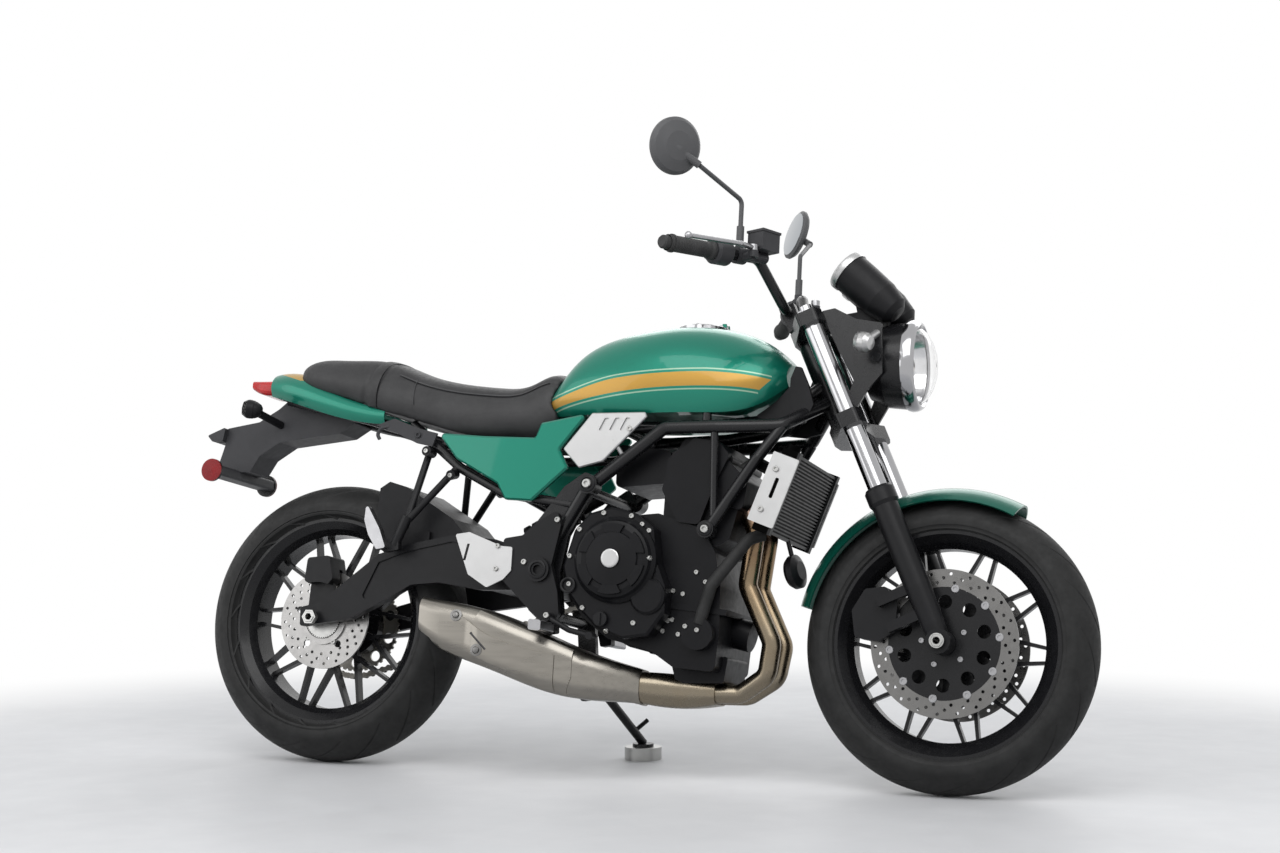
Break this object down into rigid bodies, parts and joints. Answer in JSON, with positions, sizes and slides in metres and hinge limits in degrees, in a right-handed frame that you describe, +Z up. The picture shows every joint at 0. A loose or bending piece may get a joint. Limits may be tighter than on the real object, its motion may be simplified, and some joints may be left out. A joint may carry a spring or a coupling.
{
  "type": "standard motorcycle",
  "caption": "Retro roadster motorcycle parked on its side stand, with turning wheels, steering front end, folding stand and hinged filler cap.",
  "frame": {"origin": "on the floor under the middle of the parked machine", "axes": "+X forward along the machine, +Y to its left (the side it leans to), +Z up"},
  "size_m": [2.0607, 0.8901, 1.3724],
  "materials": {
    "black_paint": "satin",
    "engine_black": "satin",
    "green_paint": "metallic gloss",
    "seat_cover": "matt grained",
    "stainless": "brushed, heat tinted",
    "alloy": "satin",
    "disc_steel": "ground",
    "chrome": "polished",
    "black_plastic": "matt",
    "rubber": "matt",
    "tyre": "matt",
    "lamp_glass": "clear",
    "red_lens": "gloss",
    "chain_steel": "oiled"
  },
  "bodies": {
    "chassis": {"frame": "black_paint", "engine_block": "engine_black", "clutch_cover": "engine_black", "generator_cover": "engine_black", "radiator": "engine_black", "radiator_panels": "alloy", "horn": "black_plastic", "exhaust_headers": "stainless", "muffler": "stainless", "fuel_tank": "green_paint", "seat": "seat_cover", "side_covers": "green_paint", "vent_panels": "alloy", "tail_cowl": "green_paint", "tail_light": "red_lens", "plate_hanger": "black_plastic", "rear_indicators": "black_plastic", "rear_reflectors": "red_lens", "swingarm": "black_paint", "rear_shock": "black_paint", "rear_hugger": "black_plastic", "chain": "chain_steel", "rear_caliper": "black_paint", "rear_axle": "disc_steel", "heel_guards": "alloy", "rider_footrests": "black_paint", "passenger_footrests": "black_paint", "engine_hangers": "black_paint", "subframe": "black_paint", "coolant_hoses": "rubber", "head_covers": "black_plastic", "footpegs": "alloy"},
    "steering": {"fork_yokes": "black_paint", "fork_tubes": "chrome", "fork_sliders": "black_paint", "front_axle": "disc_steel", "handlebar": "black_paint", "grips": "rubber", "hand_controls": "black_plastic", "levers": "alloy", "mirrors": "black_plastic", "headlight_shell": "black_plastic", "headlight_lens": "lamp_glass", "gauges": "black_plastic", "front_indicators": "black_plastic", "front_fender": "green_paint", "front_calipers": "black_paint"},
    "front_wheel": {"front_tyre": "tyre", "front_rim": "black_paint", "front_discs": "disc_steel"},
    "rear_wheel": {"rear_tyre": "tyre", "rear_rim": "black_paint", "rear_disc": "disc_steel", "rear_sprocket": "chain_steel"},
    "side_stand": {"side_stand": "black_paint", "stand_puck": "disc_steel"},
    "fuel_cap": {"fuel_cap": "alloy"}
  },
  "joints": [
    {"name": "steering_head", "type": "hinge", "parent": "chassis", "child": "steering", "pos_m": [0.70239, -0.14673, 0.28497], "axis": [-0.4067, 0.1461, 0.9018], "range_deg": [-35, 35]},
    {"name": "front_wheel_spin", "type": "hinge", "parent": "steering", "child": "front_wheel", "pos_m": [0.7304, -0.14474, 0.29728], "axis": [0, 0.9871, -0.1599], "continuous": true},
    {"name": "rear_wheel_spin", "type": "hinge", "parent": "chassis", "child": "rear_wheel", "pos_m": [-0.6746, -0.14282, 0.30913], "axis": [0, 0.9871, -0.1599], "continuous": true},
    {"name": "side_stand_fold", "type": "hinge", "parent": "chassis", "child": "side_stand", "pos_m": [-0.0896, -0.03357, 0.18304], "axis": [0, 0.7298, 0.6836], "range_deg": [0, 100]},
    {"name": "fuel_cap_hinge", "type": "hinge", "parent": "chassis", "child": "fuel_cap", "pos_m": [0.2154, -0.03618, 0.96755], "axis": [0, 0.9871, -0.1599], "range_deg": [0, 100]}
  ]
}
